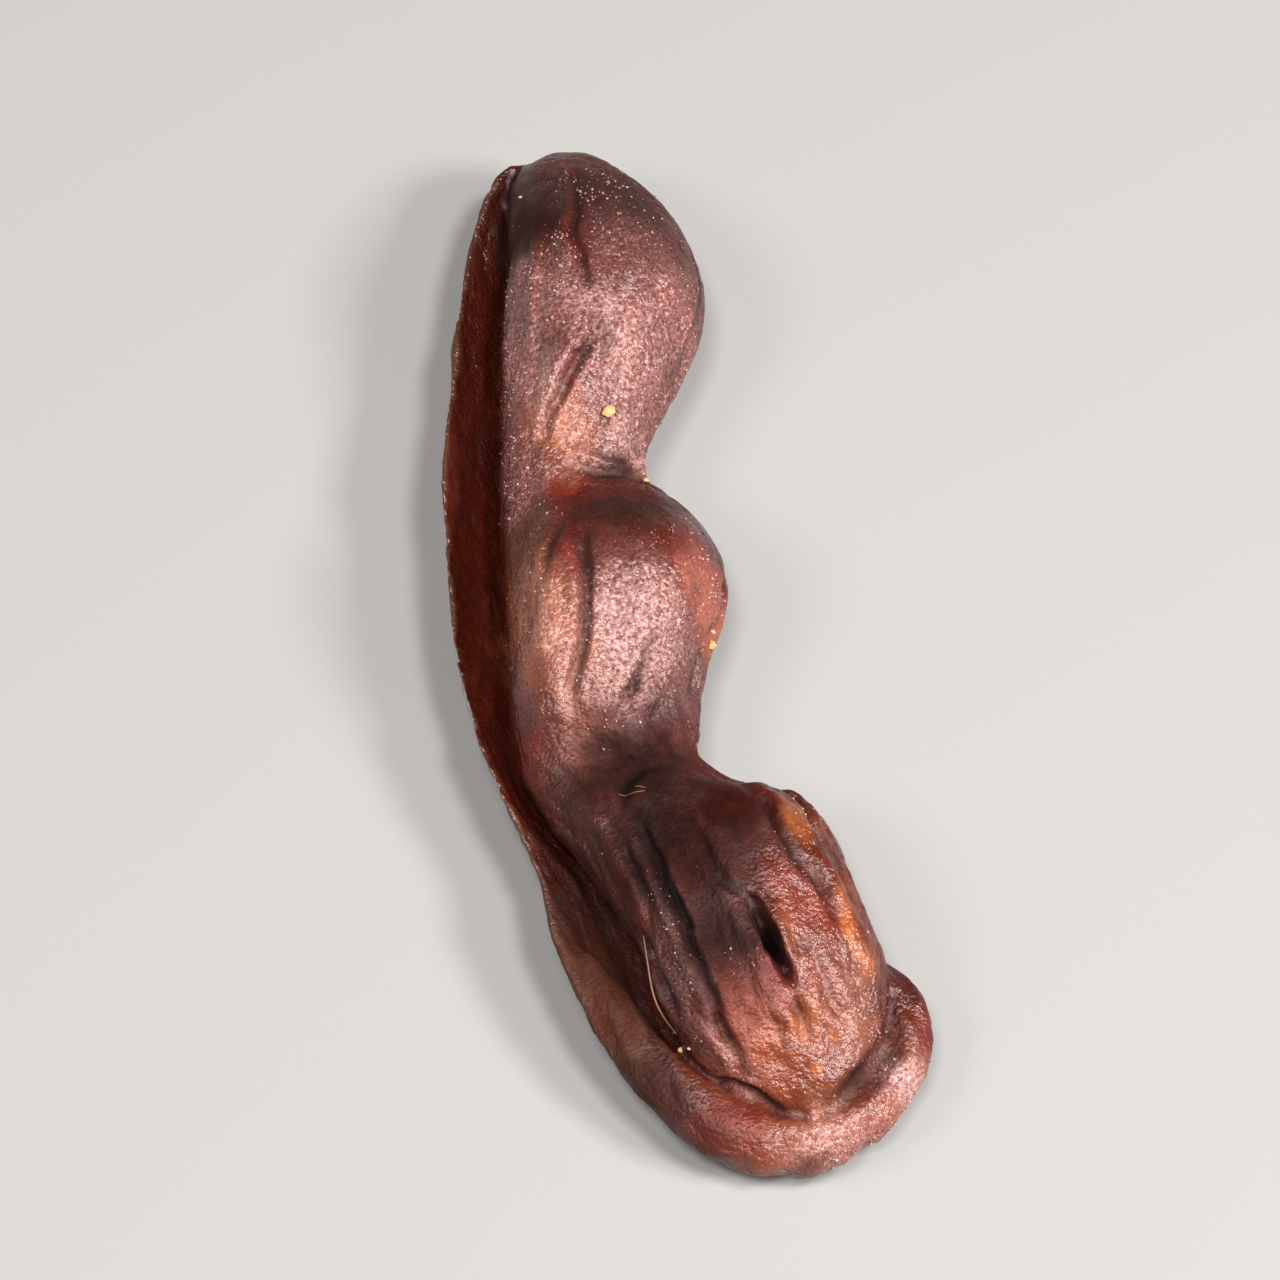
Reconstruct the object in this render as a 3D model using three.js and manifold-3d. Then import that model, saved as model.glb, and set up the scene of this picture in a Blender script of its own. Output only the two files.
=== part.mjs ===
// A shelled tamarind pod: the sticky brown pulp husk that is left when the brittle shell is peeled off.
// The husk has split along one long seam. Its upper valve is swollen over three seed chambers, with
// pinched necks between them. Its lower valve is a cradle under it. The cradle's free edge stands out
// past the upper valve as a flange along one side and turns up round the tip as a thick lip, with the
// open seam between. Down the other side the two valves are still one.
//
// Millimetres. +Z up, +Y towards the stem end, the flange on the -X side. The origin is under the
// middle of the pod, on the surface that it lies on.

import * as THREE from "three";
import Module from "manifold-3d";
import { mergeVertices } from "three/addons/utils/BufferGeometryUtils.js";

// Driving dimensions. An edge is an x, and a level is a z.
const SIDES = 32; // facets round a valve
const RINGS = 50; // facets along a valve
const HIGHEST = 20; // a level above all of the pod
const FLAKE_GAP = 0.3; // clearance under the flake of shell
const CUT_DEPTH = 5; // thickness of the block that flattens the underside
const CUT_MARGIN = 5; // how far that block reaches past the pod

const upperValve = {
  stemEnd: 45.6, // y of its two ends
  tipEnd: -35.4,
  bluntness: 4, // 2 makes elliptical ends, and more makes them blunter
  widest: 0.42, // how far up its thickness it is widest
  stations: [
    // y, seam edge, back edge, crown, belly
    [-35.4, -2.4, 8.4, 8.0, 2.4],
    [-32.0, -4.0, 9.6, 9.6, 2.0],
    [-29.0, -5.6, 10.4, 11.2, 1.8],
    [-25.0, -6.2, 10.7, 12.4, 1.8],
    [-20.0, -6.2, 10.0, 12.8, 1.8],
    [-15.0, -7.2, 9.2, 12.2, 2.0],
    [-11.5, -8.2, 7.2, 10.8, 2.4],
    [-9.0, -9.2, 3.2, 10.2, 2.6],
    [-5.0, -9.9, 2.8, 10.8, 2.6],
    [-1.0, -9.7, 4.0, 12.8, 2.2],
    [2.5, -8.9, 6.7, 14.2, 1.8],
    [6.0, -8.0, 8.0, 14.4, 1.8],
    [10.0, -7.0, 7.7, 13.2, 2.0],
    [13.0, -6.4, 6.4, 11.4, 2.4],
    [15.5, -5.8, 4.8, 10.6, 2.6],
    [20.0, -4.8, 6.8, 11.8, 2.4],
    [24.0, -3.4, 10.6, 13.4, 2.0],
    [28.5, -2.4, 13.4, 14.4, 2.0],
    [33.0, -1.4, 14.4, 14.2, 2.0],
    [37.0, -0.4, 14.0, 13.2, 2.2],
    [41.5, 0.2, 12.8, 11.6, 2.4],
    [45.6, 0.6, 11.6, 10.0, 2.6],
  ],
};

const lowerValve = {
  stemEnd: 45.8,
  tipEnd: -37.0,
  bluntness: 4,
  floor: 0.6, // level of the middle of its wall where it is lowest
  backEdgeLevel: 5.4, // level at which it joins the upper valve down its back
  curl: 2.6, // more turns the wall up more sharply, and nearer its edge
  edge: 0.6, // less makes its edge blunter
  stations: [
    // y, flange edge, back edge, flange level, half the wall's thickness
    [-37.0, -7.6, 11.4, 3.4, 1.6],
    [-34.0, -9.0, 12.0, 3.8, 1.6],
    [-30.5, -9.9, 12.4, 4.2, 1.5],
    [-27.0, -10.8, 11.6, 5.0, 1.4],
    [-23.0, -11.2, 10.0, 5.6, 1.3],
    [-18.0, -11.4, 9.0, 5.8, 1.2],
    [-13.0, -11.2, 7.2, 6.2, 1.1],
    [-8.0, -11.6, 2.4, 6.6, 1.1],
    [-3.0, -12.3, 2.8, 7.0, 1.1],
    [4.0, -12.4, 7.0, 7.2, 1.1],
    [10.0, -11.3, 6.9, 7.2, 1.1],
    [15.5, -10.2, 4.6, 7.2, 1.1],
    [21.0, -8.9, 7.2, 7.2, 1.1],
    [27.0, -7.0, 12.2, 7.0, 1.1],
    [33.0, -5.2, 13.4, 6.8, 1.1],
    [39.0, -3.4, 12.6, 6.6, 1.1],
    [45.8, -0.6, 10.6, 6.4, 1.1],
  ],
};

// The lip is a roll along the cradle's edge, thickest round the tip.
const lip = {
  radius: 2.5,
  bluntness: 1.8,
  sides: 14,
  rings: 26,
  route: [
    // x, y, z
    [-9.8, -18.5, 5.0],
    [-8.2, -25.0, 4.4],
    [-6.2, -30.0, 4.1],
    [-3.6, -33.6, 3.8],
    [0.2, -35.8, 3.6],
    [4.6, -35.3, 3.6],
    [8.6, -33.0, 3.7],
    [11.0, -29.6, 4.2],
    [10.2, -25.0, 5.0],
  ],
};

// A flake of the peeled shell, stuck on the first seed chamber.
const shellFlake = {
  size: [1.3, 0.9, 0.5],
  place: [3.1, 19.6],
  turn: 0.4,
};

const wasm = await Module();
wasm.setup();

// A smooth curve through the stations' values, read at any y.
function curveThrough(stations) {
  const places = stations.map((row) => row[0]);
  const values = stations.flatMap((row) => row.slice(1));
  const spline = new THREE.CubicInterpolant(places, values, stations[0].length - 1);
  return (y) => [...spline.evaluate(y)];
}

// A closed body from a sphere whose every point is moved by place(). It takes how far along the body
// the point is (1 to -1), how wide the body is there (0 at its ends) and the angle about its length.
function closedBody(sides, rings, bluntness, place) {
  const ball = new THREE.SphereGeometry(1, sides, rings);
  const { position, uv } = ball.attributes;
  for (let i = 0; i < position.count; i++) {
    const along = Math.cos((1 - uv.getY(i)) * Math.PI);
    const width = (1 - Math.abs(along) ** bluntness) ** (1 / bluntness);
    const round = -uv.getX(i) * 2 * Math.PI;
    position.setXYZ(i, ...place(along, width, round));
  }
  return solidOf(ball);
}

function solidOf(geometry) {
  geometry.deleteAttribute("normal");
  geometry.deleteAttribute("uv");
  const merged = mergeVertices(geometry, 1e-3);
  return new wasm.Manifold(
    new wasm.Mesh({
      numProp: 3,
      vertProperties: merged.attributes.position.array,
      triVerts: new Uint32Array(merged.index.array),
    }),
  );
}

function geometryOf(solid) {
  const mesh = solid.getMesh();
  return new THREE.BufferGeometry()
    .setAttribute("position", new THREE.BufferAttribute(mesh.vertProperties, 3))
    .setIndex(new THREE.BufferAttribute(mesh.triVerts, 1));
}

function placeAlong(valve, along) {
  return THREE.MathUtils.lerp(valve.tipEnd, valve.stemEnd, (along + 1) / 2);
}

// The valve that swells over the seeds: oval sections, widest below the middle of their height.
function makeUpperValve() {
  const at = curveThrough(upperValve.stations);
  return closedBody(SIDES, RINGS, upperValve.bluntness, (along, width, round) => {
    const y = placeAlong(upperValve, along);
    const [seam, back, crown, belly] = at(y);
    const level = THREE.MathUtils.lerp(belly, crown, upperValve.widest);
    const reach = Math.sin(round) > 0 ? crown - level : level - belly;
    const x = (seam + back) / 2 + ((back - seam) / 2) * width * Math.cos(round);
    return [x, y, level + reach * width * Math.sin(round)];
  });
}

// The cradle: a wall that is lowest along its middle and turns up at its edge, all the way round.
function makeLowerValve() {
  const { floor, backEdgeLevel, curl, edge } = lowerValve;
  const at = curveThrough(lowerValve.stations);
  return closedBody(SIDES, RINGS, lowerValve.bluntness, (along, width, round) => {
    const y = placeAlong(lowerValve, along);
    const [flange, back, flangeLevel, wall] = at(y);
    const across = width * Math.cos(round);
    const through = width * Math.sin(round);
    const toBack = THREE.MathUtils.smoothstep(across, 0, 1);
    const edgeLevel = THREE.MathUtils.lerp(flangeLevel, backEdgeLevel, toBack);
    const rise = (edgeLevel - floor) * Math.sqrt(1 - through ** 2) ** curl;
    const x = (flange + back) / 2 + ((back - flange) / 2) * across;
    return [x, y, floor + rise + wall * Math.sign(through) * Math.abs(through) ** edge];
  });
}

function makeLip() {
  const route = new THREE.CatmullRomCurve3(lip.route.map((point) => new THREE.Vector3(...point)));
  const up = new THREE.Vector3(0, 0, 1);
  return closedBody(lip.sides, lip.rings, lip.bluntness, (along, width, round) => {
    const place = (1 + along) / 2;
    const sideways = route.getTangentAt(place).cross(up).normalize();
    const radius = lip.radius * width;
    return route
      .getPointAt(place)
      .addScaledVector(sideways, radius * Math.cos(round))
      .addScaledVector(up, radius * Math.sin(round))
      .toArray();
  });
}

// Both valves and the lip as one husk, pressed flat where it lies.
function makePod() {
  const husk = makeUpperValve().add(makeLowerValve()).add(makeLip());
  const { min, max } = husk.boundingBox();
  const [length, width] = [max[1] - min[1], max[0] - min[0]];
  const block = new THREE.BoxGeometry(width + CUT_MARGIN, length + CUT_MARGIN, CUT_DEPTH);
  block.translate((min[0] + max[0]) / 2, (min[1] + max[1]) / 2, -CUT_DEPTH / 2);
  const rested = husk.subtract(solidOf(block));
  return geometryOf(rested);
}

// The flake lies flat over the valve, straight below its place.
function makeFlake(pod) {
  const { size, place, turn } = shellFlake;
  const above = new THREE.Vector3(...place, HIGHEST);
  const down = new THREE.Vector3(0, 0, -1);
  const [hit] = new THREE.Raycaster(above, down).intersectObject(pod);
  const flake = new THREE.Mesh(new THREE.DodecahedronGeometry(0.5), shell);
  flake.name = "shell_flake";
  flake.scale.set(...size);
  flake.quaternion.setFromUnitVectors(new THREE.Vector3(0, 0, 1), hit.face.normal);
  flake.rotateZ(turn);
  flake.position.copy(hit.point).addScaledVector(hit.face.normal, size[2] / 2 + FLAKE_GAP);
  return flake;
}

const pulp = new THREE.MeshStandardMaterial({ color: 0x5a2418, roughness: 0.42, metalness: 0 });
const shell = new THREE.MeshStandardMaterial({ color: 0xcfae6e, roughness: 0.75, metalness: 0 });

const pod = new THREE.Mesh(makePod(), pulp);
pod.name = "tamarind_pod";

const part = new THREE.Group();
part.add(pod, makeFlake(pod));
const box = new THREE.Box3().setFromObject(pod);
part.position.set(-(box.min.x + box.max.x) / 2, -(box.min.y + box.max.y) / 2, 0);

export default part;
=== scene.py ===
import math
import bmesh
import bpy
import numpy as np
from mathutils import Matrix, Quaternion, Vector, noise
from mathutils.bvhtree import BVHTree
from mathutils.kdtree import KDTree


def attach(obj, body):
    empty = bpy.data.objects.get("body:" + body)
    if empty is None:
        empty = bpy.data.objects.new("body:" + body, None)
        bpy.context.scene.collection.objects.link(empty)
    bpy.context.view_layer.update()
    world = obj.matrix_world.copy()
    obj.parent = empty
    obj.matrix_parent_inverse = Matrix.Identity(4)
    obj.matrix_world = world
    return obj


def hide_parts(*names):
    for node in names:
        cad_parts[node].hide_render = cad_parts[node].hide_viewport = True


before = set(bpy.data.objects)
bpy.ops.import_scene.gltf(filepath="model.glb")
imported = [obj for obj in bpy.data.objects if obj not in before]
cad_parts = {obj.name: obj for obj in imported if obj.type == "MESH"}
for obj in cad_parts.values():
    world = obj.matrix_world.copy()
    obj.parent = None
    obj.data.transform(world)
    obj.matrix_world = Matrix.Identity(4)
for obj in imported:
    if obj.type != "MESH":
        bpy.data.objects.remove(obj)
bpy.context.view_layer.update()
mm = 0.001  # every length below is in millimetres unless it says otherwise
print("frame loaded")


def linked(name, data):
    obj = bpy.data.objects.new(name, data)
    bpy.context.scene.collection.objects.link(obj)
    return obj


def meshFrom(bm, name):
    mesh = bpy.data.meshes.new(name)
    bm.to_mesh(mesh)
    bm.free()
    return mesh


def smoothShaded(mesh):
    mesh.polygons.foreach_set("use_smooth", np.ones(len(mesh.polygons), bool))


def setValues(sockets, values):
    for name, value in values.items():
        sockets[name].default_value = value


def newMaterial(name):
    material = bpy.data.materials.new(name)
    material.use_nodes = True
    tree = material.node_tree
    return material, tree, tree.nodes["Principled BSDF"].inputs


studio = {
    "azimuth": -16,  # degrees from -Y, less than 0 towards -X
    "elevation": 60,
    "distance": 320,
    "frameWidth": 91,  # how much of the floor's width the picture takes in
    "sensor": 36,
    "clipStart": 0.01,  # metres
    "target": (0.3, -0.6, 6.5),
    # softboxes: where from, size, power in watts
    "lights": {
        "keyRight": ((440, -330, 440), (160, 140), 6.5),
        "keyTop": ((200, -220, 715), (160, 140), 5.5),
        "keyLeft": ((-140, -190, 735), (160, 140), 4.6),
        "fill": ((-420, -80, 520), (200, 200), 1.8),
    },
    "lightsAim": (0, 0, 6),
    "lightColour": (1, 0.975, 0.96),
    "world": {"Color": (1, 0.97, 0.95, 1), "Strength": 0.05},
    "floorSize": 3000,
    "floor": {"Base Color": (0.26, 0.256, 0.25, 1), "Roughness": 0.9},
}


def lookFrom(obj, place, target):
    obj.location = Vector(place) * mm
    obj.rotation_euler = (Vector(target) - Vector(place)).to_track_quat("-Z", "Y").to_euler()


def addCamera():
    data = bpy.data.cameras.new("camera")
    data.sensor_width = studio["sensor"]
    data.lens = studio["sensor"] * studio["distance"] / studio["frameWidth"]
    data.clip_start = studio["clipStart"]
    camera = linked("camera", data)
    az, el = math.radians(studio["azimuth"]), math.radians(studio["elevation"])
    back = Vector((math.sin(az) * math.cos(el), -math.cos(az) * math.cos(el), math.sin(el)))
    target = Vector(studio["target"])
    lookFrom(camera, target + back * studio["distance"], target)
    bpy.context.scene.camera = camera


def addSoftbox(name, place, size, power):
    data = bpy.data.lights.new(name, "AREA")
    data.shape = "RECTANGLE"
    data.size, data.size_y = size[0] * mm, size[1] * mm
    data.energy = power
    data.color = studio["lightColour"]
    lookFrom(linked(name, data), place, studio["lightsAim"])


def addFloor():
    bm = bmesh.new()
    bmesh.ops.create_grid(bm, x_segments=1, y_segments=1, size=studio["floorSize"] / 2 * mm)
    floor = linked("floor", meshFrom(bm, "floor"))
    material, _, sockets = newMaterial("floor")
    setValues(sockets, studio["floor"])
    floor.data.materials.append(material)


def addStudio():
    addCamera()
    for name, (place, size, power) in studio["lights"].items():
        addSoftbox(name, place, size, power)
    world = bpy.data.worlds.new("studio")
    world.use_nodes = True
    setValues(world.node_tree.nodes["Background"].inputs, studio["world"])
    bpy.context.scene.world = world
    bpy.context.scene.view_settings.view_transform = "Standard"
    addFloor()


husk = {
    "roughVoxel": 0.26,
    "fineVoxel": 0.215,
    "triangles": 192000,
    "relaxRounds": 40,
    "fineRelaxRounds": 8,
    # the middle of the upper valve, which its fibres follow: (y, x)
    "spine": [(-42, 3), (-33, 1), (-24, 1), (-16, 0.3), (-9, -4.2), (-3, -3.6), (4, -1), (11, -1.4),
              (18, 1), (25, 5), (33, 6), (42, 5)],
    # the upper valve's free edge beside the slot: (y, x)
    "slotEdge": [(-34, -4.0), (-30, -5.7), (-26, -6.2), (-22, -6.7), (-18, -7.7), (-14, -9.2), (-10, -10.2),
                 (-6, -10.2), (-2, -9.5), (6, -7.5), (14, -5.7), (22, -3.5), (30, -1.2), (38, 1.3)],
    # how strongly the fibres show through the pulp: (y, share)
    "fibrous": [(-42, 0.7), (-30, 1), (-14, 1), (-9, 0.75), (-2, 0.3), (8, 0.25), (11, 0.8), (15, 0.35),
                (42, 0.3)],
    # relief of the pulp: height, wavelengths along x, y and z, seed, octaves
    "swell": (0.3, (7, 9, 7), 1, 2),
    "fluting": (0.38, (2.0, 12, 2.4), 2, 3),
    "lumps": (0.1, (1.3, 1.7, 1.3), 5, 2),
    "pebbles": (0.022, (0.62, 0.62, 0.62), 6, 2),
    "beads": (0.085, (0.8, 0.8, 0.8), 7, 1),
    # thin valleys: depth, wavelengths, seed, share of the noise they take up
    "fibreWrinkles": (0.1, (1.3, 11, 1.4), 3, 0.22),
    "fineWrinkles": (0.07, (2.0, 2.6, 2.0), 4, 0.12),
    "valleyOctaves": 2,
    "valleyFall": 1.5,
    # the share of the relief that is lost where the pulp is sleek, on thin edges and in the folds' painted
    # shade
    "sleekLoss": 0.8,
    "thinLoss": 0.85,
    "foldShadeLoss": 0.9,
    # how many rounds of averaging show a thin edge, and how far it then stands out
    "thinRounds": 12,
    "thinBulge": 0.25,
    # the same for a crest, and for a crease, which lies that much lower and is darkened with painted shade
    "bulgeRounds": 24,
    "crest": 0.35,
    "crease_shade": 0.5,
    "flangeFade": 0.6,  # how wide the change from the upper valve to the flange is
    # the patches' strength on an upright side, how fast it changes with the slope, and the least of it below
    "patchesBeside": 0.9,
    "patchesTurn": 1.6,
    "patchesBelow": 0.3,
}

# Valleys and cords in the pulp. Route points are (x, y) seen from above or below, or (y, z) from a side, laid
# on the surface, or they are (x, y, z) as they stand. A fold is width wide and lift high, with a shoulder
# beside it, and it can be darkened with painted shade. The more steep, the squarer its sides.
folds = {
    "topCrease": {
        "route": [(6.2, 37.4), (4.9, 32.9), (4.0, 29.7), (3.7, 26.7), (3.6, 23.6)],
        "width": 0.36, "lift": -0.45, "shoulder": 0.2, "foldShade": 0.5,
    },
    "topRidge": {
        "route": [(5.5, 38.0), (4.3, 33.4), (3.3, 30.0), (2.9, 27.4)],
        "width": 0.36, "lift": 0.35,
    },
    "fork": {
        "route": [(3.9, 23.4), (3.4, 21.9), (3.0, 20.9), (2.1, 20.0), (0.6, 18.6), (-0.5, 17.5),
                  (-1.9, 16.0), (-2.7, 14.8)],
        "width": 0.36, "lift": -1.0, "shoulder": 0.25, "foldShade": 0.6,
    },
    "forkBranch": {
        "route": [(4.6, 22.4), (3.9, 21.0), (3.6, 20.1), (2.7, 18.2)],
        "width": 0.35, "lift": -0.45, "shoulder": 0.12, "foldShade": 0.7,
    },
    "forkRidge": {
        "route": [(2.3, 22.4), (0.7, 20.4), (-0.8, 18.4), (-2.0, 16.6)],
        "width": 1.1, "lift": 0.55,
    },
    "firstNeck": {
        "route": [(-1.6, 12.4), (0.4, 11.6), (2.3, 11.3), (4.2, 11.2)],
        "width": 0.5, "lift": -0.6, "shoulder": 0.15, "foldShade": 0.65,
    },
    "firstNeckUpper": {
        "route": [(0.8, 12.9), (2.4, 12.5), (4.2, 12.4)],
        "width": 0.35, "lift": -0.35, "shoulder": 0.15, "foldShade": 0.6,
    },
    "bigCrease": {
        "route": [(-2.0, 5.4), (-2.7, 3.2), (-3.5, -0.1), (-4.2, -2.1), (-4.7, -3.4), (-5.6, -5.0),
                  (-6.5, -6.9)],
        "width": 0.42, "lift": -0.9, "shoulder": 0.2, "foldShade": 0.7,
    },
    "columnCrease": {
        "route": [(-3.0, 7.4), (-4.0, 5.2), (-5.0, 3.2), (-5.6, 1.8)],
        "width": 0.32, "lift": -0.35, "shoulder": 0.12, "foldShade": 0.4,
    },
    "bigColumn": {
        "route": [(-2.6, 13.0), (-3.8, 8.0), (-4.8, 4.5), (-5.7, 1.2), (-6.9, -2.7), (-8.0, -6.6)],
        "width": 1.4, "lift": 0.75,
    },
    "sideCrease": {
        "route": [(0.6, -3.9), (-0.5, -5.3), (-1.7, -6.5), (-2.7, -7.4), (-3.7, -8.7)],
        "width": 0.32, "lift": -0.7, "shoulder": 0.15, "foldShade": 0.9,
    },
    "sideRidge": {
        "route": [(1.4, -4.6), (0.3, -6.2), (-0.9, -7.5), (-2.2, -8.7)],
        "width": 0.6, "lift": 0.35,
    },
    "secondNeck": {
        "route": [(-8.6, -9.6), (-6.0, -10.6), (-3.2, -11.4), (-0.4, -12.2), (1.6, -12.6)],
        "width": 2.0, "lift": -0.6,
    },
    "neckArc": {
        "route": [(-5.2, -15.2), (-4.7, -13.8), (-3.9, -12.8), (-2.7, -12.2), (-0.6, -12.2)],
        "width": 0.5, "lift": -0.6, "shoulder": 0.08, "foldShade": 0.9,
    },
    "leftStrand": {
        "route": [(-4.6, -15.8), (-4.4, -18.4), (-4.1, -21.4), (-3.8, -24.8), (-3.7, -27.8),
                  (-3.5, -30.4), (-3.1, -32.8), (-2.5, -35.2)],
        "width": 0.42, "lift": -1.25, "shoulder": 0.3, "foldShade": 0.9,
    },
    "leftCord": {
        "route": [(-6.3, -18.5), (-5.5, -22.5), (-5.1, -26.5), (-4.9, -30.0), (-4.3, -33.5)],
        "width": 0.9, "lift": 0.4,
    },
    "rightStrand": {
        "route": [(-1.2, -18.2), (-0.9, -20.6), (-0.5, -22.6), (0.2, -24.0), (1.0, -25.0)],
        "width": 0.34, "lift": -0.55, "shoulder": 0.15, "foldShade": 0.7,
    },
    "curl": {
        "route": [(0.5, -22.0), (0.2, -23.0), (0.4, -24.0), (1.0, -24.9)],
        "width": 0.35, "lift": 0.25,
    },
    "slit": {
        "route": [(1.0, -25.2), (1.2, -26.3), (1.4, -27.5), (1.6, -28.8), (1.8, -30.2), (2.0, -31.2)],
        "width": 0.4, "lift": -3.0, "shoulder": 0.1, "foldShade": 1.0, "steep": 4,
    },
    "slitLip": {
        "route": [(1.6, -25.2), (2.1, -27.0), (2.3, -28.8), (2.8, -30.4)],
        "width": 0.4, "lift": 0.35,
    },
    "shoulder": {
        "route": [(3.2, -14.4), (4.0, -16.2), (4.2, -18.6), (4.6, -20.5), (5.0, -22.6), (6.1, -24.9),
                  (6.6, -27.5)],
        "width": 0.5, "lift": -0.7, "shoulder": 0.25, "foldShade": 0.5,
    },
    "rightCord": {
        "route": [(5.4, -17.0), (6.2, -19.6), (6.9, -23.0), (7.3, -26.4), (7.7, -29.6), (7.4, -32.6)],
        "width": 1.0, "lift": 0.5,
    },
    "shoulderCurl": {
        "route": [(5.9, -15.3), (6.9, -16.6), (7.3, -18.4), (6.7, -20.0)],
        "width": 0.4, "lift": -0.55, "shoulder": 0.3, "foldShade": 0.6,
    },
    "lowerFold": {
        "route": [(-0.6, -27.4), (-0.5, -30.0), (0.2, -32.6), (0.8, -34.6)],
        "width": 0.35, "lift": -0.15, "shoulder": 0.1, "foldShade": 0.2,
    },
    "lowerPit": {
        "route": [(1.9, -32.0), (2.2, -33.6), (1.9, -35.0)],
        "width": 0.45, "lift": -0.5, "shoulder": 0.3, "foldShade": 0.3,
    },
    "lowerBranch": {
        "route": [(4.2, -30.4), (4.5, -32.6), (5.2, -34.6)],
        "width": 0.45, "lift": -0.45, "shoulder": 0.25, "foldShade": 0.3,
    },
    "endHollow": {
        "route": [(2.6, -38.7, 6.2), (4.2, -38.0, 6.2), (5.6, -37.2, 6.4), (7.4, -36.2, 5.9),
                  (8.6, -34.6, 5.6)],
        "width": 0.75, "lift": -1.0, "shoulder": 0.15, "foldShade": 0.8,
    },
    "sideBand": {
        "route": [(3.2, 36.5), (1.9, 32.5), (0.7, 28.5), (-0.6, 24.5), (-2.2, 19.5)],
        "width": 0.6, "lift": 0.35,
    },
    "outerStrand": {
        "route": [(-6.4, -14.6), (-5.9, -18.0), (-5.4, -21.4), (-5.4, -24.4)],
        "width": 0.35, "lift": -0.35, "shoulder": 0.2, "foldShade": 0.4,
    },
    "lipGroove": {
        "route": [(-4.4, -32.2, 3.4), (-3.6, -34.0, 5.2), (-2.6, -35.7, 6.3), (-1.5, -37.1, 6.1),
                  (-0.5, -38.1, 5.9), (0.8, -38.9, 5.9)],
        "width": 0.38, "lift": -0.7, "shoulder": 0.15, "foldShade": 0.8,
    },
    "bandHollow": {
        "route": [(-1.9, -19.5), (-1.7, -24.0), (-1.4, -28.0), (-0.8, -31.5)],
        "width": 1.2, "lift": -0.35,
    },
    "backSeam": {
        "route": [(38.5, 6.4), (33, 5.9), (26, 5.2), (19, 5.4), (12, 6.2), (6, 5.3), (-1, 4.9), (-8, 5.6),
                  (-14, 6.2), (-20, 5.4), (-27, 5.2), (-32, 5.4)],
        "from": "right", "width": 0.45, "lift": -0.55, "shoulder": 0.25, "foldShade": 0.6,
    },
    "backCord": {
        "route": [(36, 7.8), (29, 7.0), (21, 6.9), (13, 7.6), (5, 6.9), (-3, 6.6), (-11, 7.3), (-19, 7.2)],
        "from": "right", "width": 0.6, "lift": 0.35,
    },
    "backCrease": {
        "route": [(31, 9.4), (27, 8.6), (23, 8.8), (19, 8.0)],
        "from": "right", "width": 0.4, "lift": -0.35, "shoulder": 0.15, "foldShade": 0.4,
    },
    "backFork": {
        "route": [(4, 8.6), (0, 8.0), (-4, 8.4), (-7, 7.6)],
        "from": "right", "width": 0.4, "lift": -0.4, "shoulder": 0.15, "foldShade": 0.4,
    },
    "leftFlute": {
        "route": [(33, 2.6), (22, 2.4), (9, 2.2), (-4, 2.6), (-16, 2.4)],
        "from": "left", "width": 0.5, "lift": -0.35, "shoulder": 0.15, "foldShade": 0.3,
    },
    "underVein": {
        "route": [(2.8, 34), (0.6, 22), (-2.2, 10), (-4.6, -2), (-4.4, -12), (-2.0, -24), (0.4, -34)],
        "from": "below", "width": 0.5, "lift": -0.4, "shoulder": 0.2, "foldShade": 0.4,
    },
    "underCrease": {
        "route": [(6.0, 30), (5.2, 20), (2.0, 8), (0.4, -3), (1.4, -14), (3.6, -25)],
        "from": "below", "width": 0.5, "lift": -0.35, "shoulder": 0.2, "foldShade": 0.4,
    },
    "underFold": {
        "route": [(-2.6, 26), (-6.0, 12), (-8.4, 0), (-8.2, -12)],
        "from": "below", "width": 0.45, "lift": -0.4, "shoulder": 0.2, "foldShade": 0.4,
    },
    "gap": {
        "route": [(-6.0, -24.6, 8.5), (-5.9, -26.3, 8.4), (-5.8, -27.9, 8.2), (-5.6, -29.6, 8.0)],
        "width": 0.45, "lift": -1.4, "shoulder": 0.25, "foldShade": 1.0,
    },
}

# How all folds are shaped
foldShape = {
    "wander": 0.25,  # how far the folds stray from their routes
    "wanderNoise": ((2.5, 2.5, 2.5), (11, 12, 13), 2),  # wavelengths, seeds, octaves
    "ends": 0.03,  # the share of the route at each end over which the fold tapers no further
    "taper": 0.6,
    "steep": 2,  # unless the fold says otherwise
    "shoulderAt": 2.0,  # in widths
    "foldShadeWidth": 1.2,  # how far a fold's painted shade reaches, in widths
}

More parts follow.
